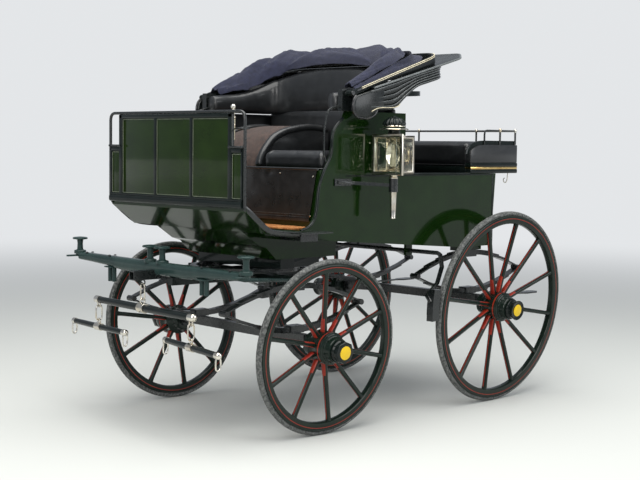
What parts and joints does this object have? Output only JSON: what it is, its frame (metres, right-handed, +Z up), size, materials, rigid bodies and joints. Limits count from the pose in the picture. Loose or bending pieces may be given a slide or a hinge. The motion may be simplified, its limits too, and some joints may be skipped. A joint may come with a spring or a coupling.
{
  "type": "demi mail phaeton carriage",
  "caption": "Horse-drawn driving carriage with a folded leather hood, a grooms' seat behind, elliptic springs and a turning fore-carriage.",
  "frame": {"origin": "on the ground, at the middle of the overall box", "axes": "+Y towards the tail, +X towards the carriage's left side, +Z up"},
  "size_m": [1.6546, 2.7448, 2.0483],
  "materials": {
    "coach_green": "dark green coach paint, high gloss",
    "frame_wood": "near-black green paint on wood",
    "black_iron": "black paint on iron",
    "spring_steel": "near-black green paint on steel leaves",
    "wheel_paint": "near-black green paint with fine red lining",
    "tyre_rubber": "grey rubber",
    "hub_cap_paint": "black paint with a plain yellow disc",
    "nickel": "nickel plate",
    "black_leather": "black, glossy on the fall",
    "hood_leather": "patent black with cream piping",
    "brown_cloth": "brown cord cloth",
    "navy_cloth": "dark blue cloth",
    "coir": "orange coir pile"
  },
  "bodies": {
    "carriage": {"turntable_upper_ring": "black_iron", "top_bed": "frame_wood", "rear_axle": "black_iron", "spring_rear_left": "spring_steel", "spring_rear_right": "spring_steel", "body_box": "coach_green", "boot": "coach_green", "footboard": "coach_green", "dash_board": "coach_green", "dash_rail": "black_iron", "floor_mat": "coir", "step_plate_left": "black_iron", "step_plate_right": "black_iron", "seat_fall": "black_leather", "passenger_cushion": "black_leather", "driver_cushion": "brown_cloth", "seat_back": "black_leather", "hood_bracket_left": "black_iron", "hood_bracket_right": "black_iron", "hood_folds": "hood_leather", "hood_lining": "navy_cloth", "lamp_bracket_left": "black_iron", "lamp_bracket_right": "black_iron", "rear_seat_frame": "coach_green", "rear_cushion": "black_leather", "rear_rail": "black_iron"},
    "fore_carriage": {"front_axle": "black_iron", "spring_front_left": "spring_steel", "spring_front_right": "spring_steel", "turntable_lower_ring": "black_iron", "fore_carriage_frame": "frame_wood", "splinter_bar": "frame_wood", "pole_socket": "black_iron"},
    "main_link": {"main_link": "nickel"},
    "main_swingletree": {"main_swingletree": "frame_wood"},
    "link_left": {"swingletree_link_left": "nickel"},
    "link_right": {"swingletree_link_right": "nickel"},
    "swingletree_left": {"swingletree_left": "frame_wood"},
    "swingletree_right": {"swingletree_right": "frame_wood"},
    "brake": {"brake_shaft": "black_iron"},
    "hood_front": {"hood_bow_front": "frame_wood", "hood_flap": "hood_leather"},
    "hood_middle": {"hood_bow_middle": "frame_wood"},
    "hood_rear": {"hood_bow_rear": "frame_wood"},
    "lamp_left": {"lamp_left": "nickel"},
    "lamp_right": {"lamp_right": "nickel"},
    "wheel_front_left": {"wheel_front_left": "wheel_paint", "tyre_front_left": "tyre_rubber", "hub_cap_front_left": "hub_cap_paint"},
    "wheel_front_right": {"wheel_front_right": "wheel_paint", "tyre_front_right": "tyre_rubber", "hub_cap_front_right": "hub_cap_paint"},
    "wheel_rear_left": {"wheel_rear_left": "wheel_paint", "tyre_rear_left": "tyre_rubber", "hub_cap_rear_left": "hub_cap_paint"},
    "wheel_rear_right": {"wheel_rear_right": "wheel_paint", "tyre_rear_right": "tyre_rubber", "hub_cap_rear_right": "hub_cap_paint"}
  },
  "joints": [
    {"name": "steering", "type": "hinge", "parent": "carriage", "child": "fore_carriage", "pos_m": [0, -0.5826, 0.8], "axis": [0, 0, 1], "range_deg": [-32, 38]},
    {"name": "roll_front_left", "type": "hinge", "parent": "fore_carriage", "child": "wheel_front_left", "pos_m": [0.68206, -0.61835, 0.4554], "axis": [0.9951, -0.0522, -0.0837], "continuous": true},
    {"name": "roll_front_right", "type": "hinge", "parent": "fore_carriage", "child": "wheel_front_right", "pos_m": [-0.68206, -0.54685, 0.4554], "axis": [-0.9951, 0.0522, -0.0837], "continuous": true},
    {"name": "roll_rear_left", "type": "hinge", "parent": "carriage", "child": "wheel_rear_left", "pos_m": [0.694, 0.7874, 0.55775], "axis": [0.996, 0, -0.0896], "continuous": true},
    {"name": "roll_rear_right", "type": "hinge", "parent": "carriage", "child": "wheel_rear_right", "pos_m": [-0.694, 0.7874, 0.55775], "axis": [-0.996, 0, -0.0896], "continuous": true},
    {"name": "link_swing", "type": "hinge", "parent": "fore_carriage", "child": "main_link", "pos_m": [-0.03491, -1.24869, 0.7655], "axis": [0.9986, -0.0523, 0], "range_deg": [-15, 4]},
    {"name": "main_tree_turn", "type": "hinge", "parent": "main_link", "child": "main_swingletree", "pos_m": [-0.03491, -1.24869, 0.638], "axis": [0, 0, 1], "range_deg": [-8, 8]},
    {"name": "link_swing_left", "type": "hinge", "parent": "main_swingletree", "child": "link_left", "pos_m": [0.41509, -1.29122, 0.6062], "axis": [0.9956, -0.0941, 0], "range_deg": [-12, 4]},
    {"name": "tree_turn_left", "type": "hinge", "parent": "link_left", "child": "swingletree_left", "pos_m": [0.41509, -1.29122, 0.49], "axis": [0, 0, 1], "range_deg": [-12, 12]},
    {"name": "link_swing_right", "type": "hinge", "parent": "main_swingletree", "child": "link_right", "pos_m": [-0.4849, -1.20615, 0.6062], "axis": [0.9956, -0.0941, 0], "range_deg": [-12, 4]},
    {"name": "tree_turn_right", "type": "hinge", "parent": "link_right", "child": "swingletree_right", "pos_m": [-0.4849, -1.20615, 0.49], "axis": [0, 0, 1], "range_deg": [-6, 12]},
    {"name": "brake_turn", "type": "hinge", "parent": "carriage", "child": "brake", "pos_m": [0, 0.2574, 0.895], "axis": [1, 0, 0], "range_deg": [-4, 1.8]},
    {"name": "hood_raise", "type": "hinge", "parent": "carriage", "child": "hood_front", "pos_m": [0, -0.3926, 1.755], "axis": [1, 0, 0], "range_deg": [0, 125]},
    {"name": "hood_middle_bow", "type": "hinge", "parent": "carriage", "child": "hood_middle", "pos_m": [0, -0.3926, 1.755], "axis": [1, 0, 0], "range_deg": [0, 81.25]},
    {"name": "hood_rear_bow", "type": "hinge", "parent": "carriage", "child": "hood_rear", "pos_m": [0, -0.3926, 1.755], "axis": [1, 0, 0], "range_deg": [0, 37.5]},
    {"name": "lamp_lift_left", "type": "slide", "parent": "carriage", "child": "lamp_left", "axis": [0, 0, 1], "range_m": [0, 0.012]},
    {"name": "lamp_lift_right", "type": "slide", "parent": "carriage", "child": "lamp_right", "axis": [0, 0, 1], "range_m": [0, 0.012]}
  ],
  "couplings": [
    {"joint": "hood_middle_bow", "follows": "hood_raise", "ratio": 0.65},
    {"joint": "hood_rear_bow", "follows": "hood_raise", "ratio": 0.3}
  ]
}
